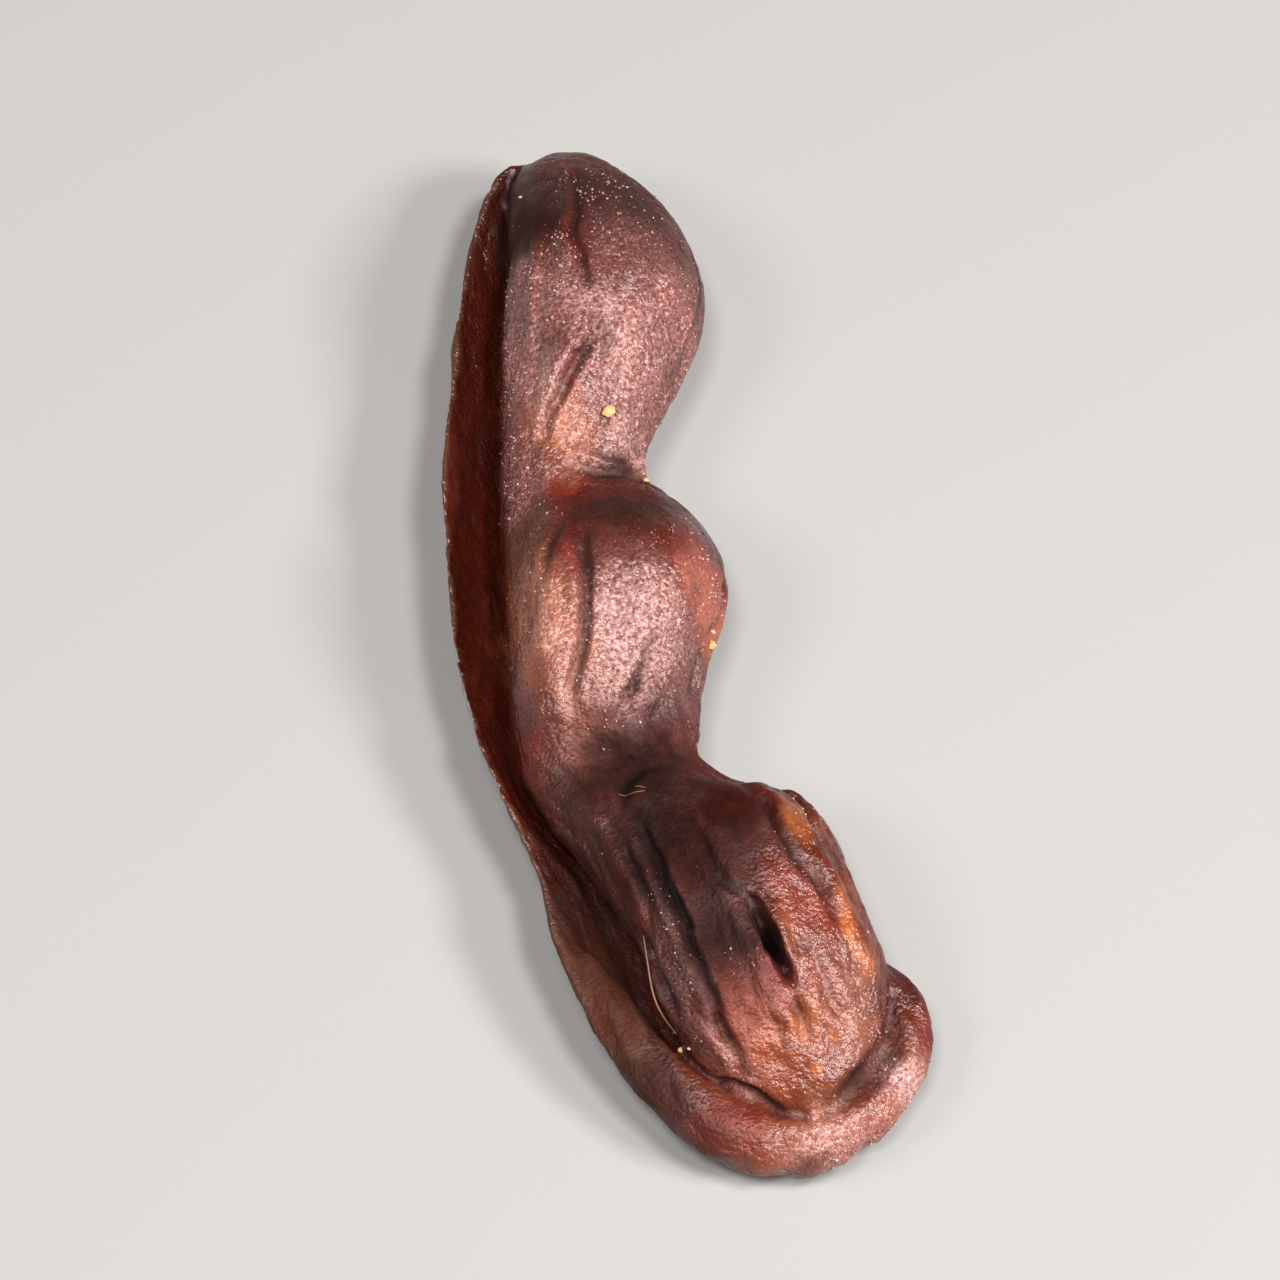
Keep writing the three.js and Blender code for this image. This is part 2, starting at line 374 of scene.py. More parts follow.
# Patches of other pulp, seen from above: (x, y, half width, half length, strength)
patches = {
    "amber": [  # orange, clear pulp
        (-1.0, 14.6, 2.0, 2.6, 0.9), (-6.2, -0.6, 2.3, 6.6, 0.75), (-2.6, 18.4, 1.3, 3.4, 0.4),
        (2.3, -33.7, 0.9, 1.0, 1.0), (5.0, -1.4, 1.2, 3.0, 0.45), (4.6, -27.5, 1.2, 4.4, 0.12),
        (4.8, -33.4, 2.8, 3.2, 0.42), (4.0, -40.2, 7.0, 2.2, 0.45), (-0.6, -34.6, 3.4, 3.0, 0.32),
        (9.0, -37.8, 2.0, 2.4, 0.3), (3.9, -34.9, 0.7, 0.8, 1.0), (2.3, -36.5, 0.7, 0.5, 0.8),
        (2.9, -34.0, 1.8, 2.6, 0.25), (6.3, -19.6, 1.2, 2.2, 0.6), (7.3, -28.5, 0.9, 3.6, 0.85),
        (3.0, -27.8, 0.6, 2.2, 0.4), (-9.0, -26.0, 2.5, 6.0, 0.12), (2.0, -38.0, 2.5, 1.2, 0.3),
    ],
    "ruby": [  # red, clear pulp
        (3.7, 29.0, 0.7, 2.6, 0.35), (9.9, 22.7, 1.2, 1.8, 0.3), (5.8, -0.8, 1.8, 4.2, 0.9),
        (-2.6, 11.4, 1.8, 1.6, 0.4), (-0.6, 8.6, 1.6, 1.0, 0.2), (0.4, 18.2, 0.9, 2.2, 0.6),
        (4.4, -17.6, 2.4, 3.4, 0.25), (11.2, -35.4, 2.2, 3.2, 0.45), (4.2, -26.8, 1.8, 4.0, 0.45),
        (1.2, -33.8, 6.0, 4.0, 0.4), (-3.0, -38.4, 4.0, 2.6, 0.35), (4.0, -40.6, 7.0, 2.0, 0.25),
        (-3.4, 1.0, 0.6, 4.0, 0.5),
    ],
    "plum": [  # purplish pulp
        (8.0, 26.5, 4.5, 9.0, 0.8), (1.6, 24.0, 2.6, 3.6, 0.7), (-0.6, 1.0, 3.4, 4.0, 0.5),
        (-1.3, -26.0, 1.6, 6.0, 0.5), (3.0, -39.0, 4.0, 2.0, 0.3), (-4.0, -9.0, 4.0, 3.0, 0.5),
    ],
    "painted_shadow": [  # painted shadow: darker brown where shade falls on the pulp
        (1.6, 34.0, 1.8, 4.0, 0.55), (9.0, 33.0, 3.0, 5.0, 0.7), (-3.6, -11.8, 4.6, 3.4, 1.0),
        (-2.6, -17.5, 4.0, 5.0, 1.0), (2.0, -17.6, 2.6, 3.4, 0.9), (-4.6, -22.0, 1.6, 5.0, 1.0),
        (-8.0, -32.5, 2.8, 5.0, 0.8), (-1.2, -25.5, 1.8, 6.0, 1.0), (0.6, -8.2, 2.4, 1.8, 0.7),
        (-9.0, -24.0, 2.4, 8.0, 0.6), (0.6, 6.6, 4.4, 1.8, 0.6), (-4.4, -30.0, 1.6, 4.0, 0.5),
        (3.0, 11.3, 2.6, 1.3, 0.8), (3.9, -26.4, 1.4, 4.0, 0.85), (10.7, -35.4, 1.6, 2.4, 0.6),
    ],
    "bloom_highlight": [  # the pale, dry skin over the pulp, laid where highlights fall, so partly a painted highlight
        (-0.4, 14.0, 1.8, 2.6, 0.9), (4.6, 19.6, 4.2, 5.6, 1.0), (1.2, 25.0, 2.6, 3.6, 0.85),
        (-2.2, 18.6, 1.6, 4.0, 1.0), (3.4, 14.4, 2.4, 2.4, 1.0), (9.4, 22.0, 2.6, 5.0, 0.7),
        (-3.2, 22.0, 1.8, 6.0, 0.9), (-1.2, 28.0, 1.8, 3.4, 0.7), (-0.8, -2.4, 4.4, 4.4, 1.0),
        (-2.6, -5.6, 2.6, 2.4, 0.8), (-6.0, -1.0, 1.8, 6.0, 0.6), (-8.6, -0.5, 1.4, 7.0, 0.35),
        (4.8, -33.0, 3.0, 3.6, 0.42), (5.2, -0.6, 1.6, 3.4, 0.4), (-4.4, -30.0, 1.2, 5.0, 0.2),
        (4.6, -40.6, 6.4, 2.0, 0.6), (8.0, -38.2, 2.6, 2.4, 1.0), (-6.0, -37.2, 2.6, 2.6, 0.2),
        (7.6, 27.0, 3.6, 5.0, 0.35), (4.4, -26.6, 1.6, 4.0, 0.1), (-4.8, 13.0, 1.6, 5.0, 0.6),
        (-2.4, -34.6, 1.6, 2.0, 0.5),
    ],
    "painted_highlight": [  # painted highlights: the palest spots on that skin
        (-1.6, -3.4, 3.4, 3.2, 0.4), (2.6, 23.8, 1.8, 1.4, 0.4), (4.9, 20.2, 0.9, 2.6, 0.3),
        (8.7, -38.2, 1.4, 1.5, 1.0), (2.2, -41.0, 2.8, 1.0, 0.3), (-1.0, 20.4, 0.9, 3.4, 0.4),
        (3.6, 14.4, 1.4, 1.4, 0.5), (-6.6, -2.4, 0.8, 3.6, 0.3),
    ],
    "beady": [  # where the pulp has dried to small beads
        (4.8, -33.2, 3.4, 4.4, 1.0), (6.4, -39.6, 4.6, 2.4, 0.8), (-1.0, -39.6, 5.0, 2.2, 0.7),
        (5.9, -20.7, 2.0, 3.0, 0.6), (3.6, 14.4, 2.0, 2.2, 0.8), (-3.4, -31.6, 2.0, 3.6, 0.5),
        (4.4, -27.4, 1.6, 4.0, 0.6), (0.6, -36.0, 4.0, 2.0, 0.8),
    ],
    "frost": [  # where fine grains gather
        (7.8, 33.4, 3.0, 4.0, 0.3), (5.4, 35.6, 1.4, 1.8, 0.3), (2.6, 28.0, 1.6, 3.0, 0.9),
        (8.8, 27.6, 3.0, 3.6, 0.3), (3.1, 3.5, 1.8, 1.6, 0.3), (5.8, 3.4, 0.9, 2.6, 0.4),
        (0.9, -23.9, 0.5, 0.8, 0.5), (-4.6, 12.0, 1.2, 5.0, 0.2), (-2.0, -8.6, 3.4, 1.2, 0.3),
        (4.4, -26.0, 1.6, 4.0, 0.25), (7.0, -19.4, 1.0, 2.4, 0.3), (-4.6, -25.0, 0.8, 4.0, 0.25),
        (-1.0, -29.6, 1.2, 2.0, 0.25), (5.4, -33.4, 2.4, 3.2, 0.6), (8.8, -38.4, 2.2, 2.4, 1.0),
        (5.6, -0.8, 1.4, 3.0, 0.5), (4.0, -41.2, 4.0, 1.6, 0.5),
    ],
    "sleek": [  # smooth pulp, with little grain
        (1.9, 34.5, 1.2, 4.5, 1.0), (0.2, 28.0, 0.9, 5.0, 0.8), (-3.6, -12.5, 3.6, 3.0, 0.8),
        (-9.4, 10.0, 2.4, 22.0, 0.6), (3.4, -18.0, 3.0, 3.6, 0.6),
    ],
    "matte": [  # dull pulp, which mirrors nothing
        (1.4, 34.0, 2.2, 4.0, 0.8), (8.0, 33.5, 4.5, 5.0, 0.6), (-3.4, -12.0, 5.6, 4.6, 0.9),
        (-2.4, -20.0, 5.4, 6.0, 0.9), (-2.0, -27.5, 3.6, 5.6, 0.8), (1.8, -18.0, 2.8, 4.0, 1.0),
        (-9.0, -24.0, 3.4, 9.0, 0.9), (-8.6, -34.0, 3.0, 4.0, 0.8), (-4.6, -38.0, 3.0, 2.0, 0.5),
        (1.0, 7.6, 4.0, 2.6, 0.6), (2.4, 11.0, 2.6, 1.2, 0.6), (10.7, -35.4, 1.6, 2.4, 0.4),
    ],
}

patchShape = {
    "wander": 1.4,  # the most that a patch's edge wanders, if it isn't narrower itself
    "wanderNoise": ((2.6, 3.6, 2.6), (21, 22), 4),
    "edge": 1.4,  # how sharp its edge is
}

weld = 0.001  # points of a CAD mesh that are closer than this are one
smoothing = (0.6, -0.62)  # the second step of each round gives back what the first one shrinks
seedStep = 7.3  # how far apart two seeds read the same noise
fractal = (1.0, 2.0)  # how fast the octaves of the noise get weaker, and finer
high, aside = 40, 60  # where rays start, clear of the pod


def merged(node, name):
    bm = bmesh.new()
    bm.from_mesh(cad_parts[node].data)
    bmesh.ops.remove_doubles(bm, verts=bm.verts, dist=weld * mm)
    return linked(name, meshFrom(bm, name))


def applied(obj, kind, **settings):
    modifier = obj.modifiers.new(kind.lower(), kind)
    for name, value in settings.items():
        setattr(modifier, name, value)
    view = bpy.context.evaluated_depsgraph_get()
    mesh = bpy.data.meshes.new_from_object(obj.evaluated_get(view), depsgraph=view)
    obj.modifiers.clear()
    old = obj.data
    obj.data = mesh
    bpy.data.meshes.remove(old)


def remesh(obj, voxel):
    applied(obj, "REMESH", mode="VOXEL", voxel_size=voxel * mm)


def pointsOf(mesh):
    points = np.zeros(len(mesh.vertices) * 3)
    mesh.vertices.foreach_get("co", points)
    return points.reshape(-1, 3) / mm


def setPoints(mesh, points):
    mesh.vertices.foreach_set("co", (points * mm).ravel())
    mesh.update()


def normalsOf(mesh):
    normals = np.zeros(len(mesh.vertices) * 3)
    mesh.vertex_normals.foreach_get("vector", normals)
    return normals.reshape(-1, 3)


def edgesOf(mesh):
    edges = np.zeros(len(mesh.edges) * 2, dtype=int)
    mesh.edges.foreach_get("vertices", edges)
    return edges.reshape(-1, 2)


def valuesOf(mesh, name):
    values = np.zeros(len(mesh.vertices))
    mesh.attributes[name].data.foreach_get("value", values)
    return values


def setValuesOf(mesh, name, values):
    mesh.attributes.new(name, "FLOAT", "POINT").data.foreach_set("value", values)


def push(mesh, heights):  # along the normals
    setPoints(mesh, pointsOf(mesh) + normalsOf(mesh) * heights[:, None])


def averaged(values, edges):  # over each point's neighbours
    count = len(values)
    a, b = edges.T
    degree = np.bincount(a, minlength=count) + np.bincount(b, minlength=count)
    columns = [np.bincount(a, v[b], count) + np.bincount(b, v[a], count) for v in values.reshape(count, -1).T]
    return (np.stack(columns, 1) / degree[:, None]).reshape(values.shape)


def relax(mesh, rounds):
    points, edges = pointsOf(mesh), edgesOf(mesh)
    for _ in range(rounds):
        for pull in smoothing:
            points = points + pull * (averaged(points, edges) - points)
    setPoints(mesh, points)


def bulgeOf(mesh, rounds):  # how far each point stands out of its surroundings
    points, edges = pointsOf(mesh), edgesOf(mesh)
    soft = points
    for _ in range(rounds):
        soft = averaged(soft, edges)
    return ((points - soft) * normalsOf(mesh)).sum(1)


def waves(points, sizes, seed, octaves):  # smooth noise, about -1 to 1, with a wavelength along each axis
    scaled = points / np.array(sizes) + seed * seedStep
    return np.array([noise.fractal(p, *fractal, octaves) for p in scaled])


def wandering(points, sizes, seeds, octaves):  # a column of noise for each seed
    return np.stack([waves(points, sizes, seed, octaves) for seed in seeds], 1)


def relief(points, name, strength=1):
    height, sizes, seed, octaves = husk[name]
    return strength * height * waves(points, sizes, seed, octaves)


def valleys(points, name, strength=1):  # where the noise changes sign
    depth, sizes, seed, width = husk[name]
    n = np.abs(waves(points, sizes, seed, husk["valleyOctaves"]))
    return strength * depth * -(np.clip(1 - n / width, 0, 1) ** husk["valleyFall"])


def alongCurve(route, perSpan=8):  # a Catmull-Rom curve through the route's points
    p = np.array(route, float)
    p = np.vstack([2 * p[0] - p[1], p, 2 * p[-1] - p[-2]])
    t = np.linspace(0, 1, perSpan, endpoint=False)[:, None]
    spans = [
        0.5 * (2 * b + (c - a) * t + (2 * a - 5 * b + 4 * c - d) * t**2 + (3 * b - a - 3 * c + d) * t**3)
        for a, b, c, d in zip(p[:-3], p[1:-2], p[2:-1], p[3:])
    ]
    return np.vstack([*spans, p[-2:-1]])


def surfaceFrom(tree, a, b, side="above"):  # a and b are x, y from above or below, and y, z from a side
    start, way = {
        "above": ((a, b, high), (0, 0, -1)),
        "below": ((a, b, -high), (0, 0, 1)),
        "right": ((aside, a, b), (-1, 0, 0)),
        "left": ((-aside, a, b), (1, 0, 0)),
    }[side]
    place, normal = tree.ray_cast(Vector(start) * mm, Vector(way))[:2]
    return (None, None) if place is None else (np.array(place) / mm, np.array(normal))


def laidOn(tree, fold, over=0):  # the fold's route on the surface, or over it
    if len(fold["route"][0]) == 3:
        return alongCurve(fold["route"])
    hits = [surfaceFrom(tree, a, b, fold.get("from", "above")) for a, b in alongCurve(fold["route"])]
    return np.array([place + over * normal for place, normal in hits if place is not None])


def distanceTo(curve, points):  # and how far along the curve the nearest place is, from 0 to 1
    best = np.full(len(points), np.inf)
    place = np.zeros(len(points))
    spans = len(curve) - 1
    for i, (a, b) in enumerate(zip(curve[:-1], curve[1:])):
        along = b - a
        t = np.clip((points - a) @ along / (along @ along), 0, 1)
        away = points - a - t[:, None] * along
        d = np.einsum("ij,ij->i", away, away)
        near = d < best
        best[near] = d[near]
        place[near] = (i + t[near]) / spans
    return np.sqrt(best), place


def atY(points, name):  # what the husk's list of that name says at each point's y
    y, value = np.array(husk[name]).T
    return np.interp(points[:, 1], y, value)


def alongFibres(points):  # the same points with the pod's bends straightened out
    return np.stack([points[:, 0] - atY(points, "spine"), points[:, 1], points[:, 2]], 1)


def foldPulp(obj):  # presses the folds in and gives how much painted shade they lay on each point
    shape = foldShape
    points = pointsOf(obj.data)
    tree = BVHTree.FromObject(obj, bpy.context.evaluated_depsgraph_get())
    wander = shape["wander"] * wandering(points, *shape["wanderNoise"])
    lift = np.zeros(len(points))
    foldShade = np.zeros(len(points))
    for fold in folds.values():
        d, place = distanceTo(laidOn(tree, fold), points + wander)
        taper = np.sin(np.pi * np.clip(place, shape["ends"], 1 - shape["ends"])) ** shape["taper"]
        w = fold["width"]
        steep = fold.get("steep", shape["steep"])
        lift += fold["lift"] * np.exp(-((d / w) ** steep)) * taper
        lift += fold.get("shoulder", 0) * np.exp(-(((d - shape["shoulderAt"] * w) / w) ** 2)) * taper
        shadeReach = np.exp(-((d / w / shape["foldShadeWidth"]) ** steep))
        foldShade = np.maximum(foldShade, fold.get("foldShade", 0) * shadeReach * taper)
    push(obj.data, lift)
    return foldShade


def patchValue(points, name):
    wander = wandering(points, *patchShape["wanderNoise"])
    value = np.zeros(len(points))
    for x, y, halfWidth, halfLength, strength in patches[name]:
        away = points[:, :2] + min(patchShape["wander"], halfWidth) * wander - (x, y)
        reach = ((away / (halfWidth, halfLength)) ** 2).sum(1)
        value = np.maximum(value, strength * np.exp(-(reach ** patchShape["edge"])))
    return value


def nearestIn(points, others):  # which of the others is nearest to each point
    tree = KDTree(len(others))
    for i, p in enumerate(others):
        tree.insert(p, i)
    tree.balance()
    return [tree.find(p)[1] for p in points]


def addMasks(mesh, points, foldShade, sleek):
    bulge = bulgeOf(mesh, husk["bulgeRounds"])
    flange = np.clip((atY(points, "slotEdge") - points[:, 0]) / husk["flangeFade"], 0, 1)
    turned = husk["patchesBeside"] + husk["patchesTurn"] * normalsOf(mesh)[:, 2]
    above = np.clip(turned, husk["patchesBelow"], 1)
    masks = {
        # creases and hollows, with the folds' painted shade: where near-black painted shade goes
        "crease_shade": np.maximum(foldShade, np.clip(-bulge / husk["crease_shade"], 0, 1)),
        "crest": np.clip(bulge / husk["crest"], 0, 1),
        "flange": flange,
        "sleek": sleek,
    }
    for name in ("amber", "ruby", "plum", "painted_shadow", "bloom_highlight", "painted_highlight", "matte"):
        masks[name] = patchValue(points, name) * above
    for name in ("bloom_highlight", "painted_highlight"):
        masks[name] *= 1 - flange
    for name, values in masks.items():
        setValuesOf(mesh, name, values)


def makeHusk():
    obj = merged("tamarind_pod", "tamarindHusk")
    remesh(obj, husk["roughVoxel"])
    relax(obj.data, husk["relaxRounds"])
    points = pointsOf(obj.data)
    fibrous = atY(points, "fibrous")
    push(obj.data, relief(points, "swell") + relief(alongFibres(points), "fluting", fibrous))
    foldShade = foldPulp(obj)
    foldedPoints = pointsOf(obj.data)
    print("pulp folded")

    remesh(obj, husk["fineVoxel"])
    mesh = obj.data
    relax(mesh, husk["fineRelaxRounds"])
    points = pointsOf(mesh)
    foldShade = foldShade[nearestIn(points, foldedPoints)]
    flow = alongFibres(points)
    sleek = patchValue(points, "sleek")
    thin = np.clip(bulgeOf(mesh, husk["thinRounds"]) / husk["thinBulge"], 0, 1)
    wrinkles = valleys(flow, "fibreWrinkles", atY(points, "fibrous")) + valleys(points, "fineWrinkles")
    pebbles = relief(points, "pebbles") * (1 - husk["sleekLoss"] * sleek)
    beads = relief(points, "beads") * patchValue(points, "beady")
    heights = wrinkles + relief(flow, "lumps") + pebbles + beads
    push(mesh, heights * (1 - husk["thinLoss"] * thin) * (1 - husk["foldShadeLoss"] * foldShade))
    points = pointsOf(mesh)
    points[:, 2] = np.maximum(points[:, 2], 0.0)  # flat where it rests
    setPoints(mesh, points)

    addMasks(mesh, points, foldShade, sleek)
    smoothShaded(mesh)
    applied(obj, "DECIMATE", ratio=husk["triangles"] / (2 * len(mesh.polygons)))
    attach(obj, "root")
    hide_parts("tamarind_pod")
    return obj


# What is left of the shell on the pulp
shell = {
    "voxel": 0.045,
    "relaxRounds": 6,
    "radius": 0.6,  # of the flake
    "cup": 0.22,  # how deep the flake is dished
    "cupMiddle": 0.5,  # the share of the dish that lies below the flake's own plane
    # the flake's ragged outline and its bumps: how much, then wavelengths, seeds, octaves
    "ragged": 0.08,
    "raggedNoise": ((0.3, 0.3, 0.3), (31, 32), 2),
    "bumps": 0.04,
    "bumpNoise": ((0.25, 0.25, 0.25), 33, 3),
    "bedded": 0.08,  # how far its lowest point sinks into the pulp
    "straw": (160, 118, 70),
    "pale": (190, 156, 108),
    "brown": (100, 60, 34),
    "fibre": (92, 60, 42),
    "roughness": 0.6,
    "fibreRoughness": 0.4,
    "grain": (0.15, 3, 0.55),  # size, detail, roughness
    "grainDepth": 0.05,
    "strandSides": 8,
    "strandTaper": 0.5,
}

# Thin fibres on the pulp, as (x, y) seen from above or (x, y, z), with their radius and their height over
# the surface
fibres = {
    "laminaEdge": {
        "route": [(-6.1, -23.4, 8.8), (-6.4, -25.7, 8.1), (-6.6, -27.9, 7.3), (-6.4, -29.4, 6.9),
                  (-5.9, -31.1, 7.0)],
        "radius": 0.09, "over": 0,
    },
    "neckFibre": {"route": [(-5.1, -13.9), (-4.2, -14.3), (-3.3, -14.5)], "radius": 0.05, "over": 0.05},
    "neckFibreShort": {"route": [(-3.9, -13.7), (-3.2, -14.1)], "radius": 0.04, "over": 0.05},
}

# Crumbs of shell on the pulp, as (x, y, size)
crumbs = [(4.9, -2.9, 0.75), (5.3, -2.0, 0.45), (4.2, 11.4, 0.5), (-5.7, -31.6, 0.5), (-5.3, -32.2, 0.35),
          (3.5, -25.2, 0.24), (8.4, -28.4, 0.26), (1.9, 37.3, 0.4)]

crumbShape = {
    "subdivisions": 3,
    "flat": (1, 0.8, 0.6),
    "rough": 0.35,  # share of the radius that its bumps take
    "bumpSize": 0.3,
    "bumpDetail": 3,
    "apart": 5.1,  # how far apart two crumbs read the noise of their bumps
    "turn": 2.4,  # radians from one crumb to the next
    "axis": (0.4, 0.3, 1),
}


def shellPiece(bm, name):
    obj = linked(name, meshFrom(bm, name))
    smoothShaded(obj.data)
    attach(obj, "root")
    return obj


def makeFlake(tree):
    obj = merged("shell_flake", "shellFlake")
    remesh(obj, shell["voxel"])
    relax(obj.data, shell["relaxRounds"])
    points = pointsOf(obj.data)
    middle = (points.min(0) + points.max(0)) / 2
    reach = np.linalg.norm(points[:, :2] - middle[:2], axis=1) / shell["radius"]
    points[:, 2] += shell["cup"] * (reach**2 - shell["cupMiddle"])
    points[:, :2] += shell["ragged"] * wandering(points, *shell["raggedNoise"])
    points[:, 2] += shell["bumps"] * waves(points, *shell["bumpNoise"])
    under = [surfaceFrom(tree, x, y)[0][2] for x, y in points[:, :2]]
    points[:, 2] -= (points[:, 2] - under).min() + shell["bedded"]
    setPoints(obj.data, points)
    smoothShaded(obj.data)
    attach(obj, "root")
    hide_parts("shell_flake")
    return obj


def addStrand(bm, curve, radius):  # a closed tube that thins towards its ends
    loops = []
    for i, point in enumerate(curve):
        along = Vector(curve[min(i + 1, len(curve) - 1)] - curve[max(i - 1, 0)])
        turn = along.to_track_quat("Z", "Y").to_matrix().to_4x4()
        size = radius * math.sin(math.pi * (i + 1) / (len(curve) + 1)) ** shell["strandTaper"]
        place = Matrix.Translation(Vector(point) * mm) @ turn
        made = bmesh.ops.create_circle(bm, segments=shell["strandSides"], radius=size * mm, matrix=place)
        loops.append({edge for v in made["verts"] for edge in v.link_edges})
    for a, b in zip(loops, loops[1:]):
        bmesh.ops.bridge_loops(bm, edges=[*a, *b])
    for end in (loops[0], loops[-1]):
        bmesh.ops.contextual_create(bm, geom=[*end])
    bmesh.ops.recalc_face_normals(bm, faces=bm.faces)


def makeFibres(tree):
    bm = bmesh.new()
    for fibre in fibres.values():
        addStrand(bm, laidOn(tree, fibre, fibre["over"]), fibre["radius"])
    return shellPiece(bm, "shellFibres")


def addCrumb(bm, place, size, i):
    shape = crumbShape
    verts = bmesh.ops.create_icosphere(bm, subdivisions=shape["subdivisions"], radius=size / 2 * mm)["verts"]
    bmesh.ops.scale(bm, vec=shape["flat"], verts=verts)
    for v in verts:
        seen = v.co / (shape["bumpSize"] * mm) + Vector((i * shape["apart"], 0, 0))
        v.co *= 1 + shape["rough"] * noise.fractal(seen, *fractal, shape["bumpDetail"])
    turn = Matrix.Rotation(i * shape["turn"], 3, shape["axis"])
    bmesh.ops.rotate(bm, cent=(0, 0, 0), matrix=turn, verts=verts)
    bmesh.ops.translate(bm, vec=place, verts=verts)


def makeCrumbs(tree):
    bm = bmesh.new()
    for i, (x, y, size) in enumerate(crumbs):
        addCrumb(bm, Vector(surfaceFrom(tree, x, y)[0]) * mm, size, i)
    return shellPiece(bm, "shellCrumbs")


# Fine grains of dried pulp, thickest on the pale skin patches with their painted highlight
grains = {
    "seed": 3,
    "count": 4000,
    "subdivisions": 1,
    "sizes": (0.09, 0.3),
    "mostlySmall": 2.5,
    "squashed": 0.55,  # a grain's least width as a share of its size
    "raised": 0.15,  # how far its middle is over the pulp, as a share of its size
    # how likely a place is to have a grain
    "everywhere": 0.002,
    "onBloomHighlight": 0.8,
    "bloomHighlightFall": 1.5,
    "onFrost": 1.0,
    "onSides": 0.5,
    # how pale a grain may be: at least, and how fast it gets paler where they are thick
    "leastPale": 0.3,
    "paler": 2,
    "dull": (112, 72, 66),
    "pale": (168, 132, 122),
    "roughness": 0.3,
}


def grainChances(mesh):
    chance = grains["everywhere"] + grains["onBloomHighlight"] * valuesOf(mesh, "bloom_highlight") ** grains["bloomHighlightFall"]
    chance += grains["onFrost"] * patchValue(pointsOf(mesh), "frost")
    chance *= (1 - valuesOf(mesh, "crease_shade")) * (1 - valuesOf(mesh, "flange"))
    return chance * np.clip(normalsOf(mesh)[:, 2] + grains["onSides"], 0, 1)


def unitGrain():  # one across, about the origin
    bm = bmesh.new()
    bmesh.ops.create_icosphere(bm, subdivisions=grains["subdivisions"], radius=0.5)
    verts = [v.co.copy() for v in bm.verts]
    corners = np.array([[v.index for v in face.verts] for face in bm.faces])
    bm.free()
    return verts, corners


def makeGrains(huskMesh):
    random = np.random.default_rng(grains["seed"])
    points, normals, chance = pointsOf(huskMesh), normalsOf(huskMesh), grainChances(huskMesh)
    chosen = random.choice(len(points), grains["count"], replace=False, p=chance / chance.sum())
    unit, corners = unitGrain()
    low, high = grains["sizes"]
    verts, tints = [], []
    for i in chosen:
        size = low + (high - low) * random.random() ** grains["mostlySmall"]
        place = Vector(points[i] + normals[i] * grains["raised"] * size)
        turn = Quaternion(random.normal(size=4)).normalized()
        shape = Matrix.LocRotScale(place, turn, Vector(size * random.uniform(grains["squashed"], 1, 3)))
        verts += [(shape @ co) * mm for co in unit]
        most = min(1, grains["leastPale"] + grains["paler"] * chance[i])
        tints += [random.random() * most] * len(unit)
    faces = np.vstack([corners + k * len(unit) for k in range(len(chosen))])
    mesh = bpy.data.meshes.new("pulpGrains")
    mesh.from_pydata(verts, [], faces.tolist())
    setValuesOf(mesh, "pale", tints)
    obj = linked("pulpGrains", mesh)
    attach(obj, "root")
    return obj


# Colours of the pulp, as red, green and blue out of 255
pulp = {
    "flesh": (58, 25, 17),
    "red": (86, 29, 14),
    # dark brown: random mottling, and the painted shadow on the shaded patches
    "dusk_and_shadow": (38, 14, 9),
    "plum": (66, 33, 30),
    "amber": (158, 88, 46),
    "ruby": (128, 36, 20),
    # pale dry skin, lightened as a painted highlight
    "bloom_highlight": (148, 101, 95),
    # painted highlight: the palest spots
    "painted_highlight": (186, 144, 138),
    # near black: painted shade in creases and hollows
    "shade_black": (5, 2, 2),
    "dry": (84, 58, 44),
    # the flange's own dark red, made darker as painted shade
    "cradle_and_shade": (60, 21, 13),
}

# How the pulp's masks and noises are used
pulpLook = {
    # the most that a colour covers what is under it
    "duskShare": 0.4,
    # how far the flange takes its dark red and painted shade
    "cradleAndShadeShare": 0.85,
    # how far painted shade darkens the creases
    "shadeBlackShare": 0.95,
    "dryShare": 0.6,
    # grain: size of its beads, how much they and the finer noise count, and what sleek pulp has left of it
    "beadSize": 0.32,
    "beadShare": 0.35,
    "fineGrain": (0.28, 2, 0.6),
    "fineShare": 0.8,
    "sleekGrain": 0.12,
    "grainShare": 0.75,
    # each bead on the pale skin with its painted highlight leans its own way, which its random colour gives,
    # by this much over this length
    "facet": 0.8,
    "facetLength": 0.18,
    "middleTone": (0.5, 0.5, 0.5),
    "bumpDepth": 0.2,
    # dull pulp is this much rougher than wet pulp, and a metal's share holds back its grey reflections
    "dullRough": 0.65,
    "dullMetal": 0.85,
    "shader": {
        "IOR": 1.5,
        "Specular IOR Level": 0.6,
        "Specular Tint": (1.0, 0.95, 0.95, 1.0),
        "Subsurface Weight": 0.1,
        "Subsurface Scale": 0.6 * mm,
        "Subsurface Radius": (1.0, 0.28, 0.14),
    },
}

# Noises: size, detail, roughness, the range of it that counts, and what the ends of that range become
mottling = {
    "broad": (5, 4, 0.55, 0.38, 0.64, 0, 1),
    "fine": (0.9, 4, 0.65, 0.35, 0.68, 0, 1),
    "patchy": (0.8, 4, 0.7, 0.36, 0.6, 0.5, 1),
    "specks": (0.28, 2, 0.6, 0.38, 0.6, 0.25, 1),
    "wet": (0.45, 4, 0.7, 0.35, 0.65, 0.22, 0.38),
    "fibreStreaks": (0.4, 3, 0.55, 0.35, 0.65, 0, 1),
    "shellClouds": (0.5, 3, 0.55, 0.35, 0.65, 0, 1),
    "shellSpots": (0.25, 3, 0.55, 0.56, 0.7, 0, 0.8),
}

gamma = 2.2


def colour(name, palette=pulp):
    return tuple((v / 255) ** gamma for v in palette[name]) + (1,)


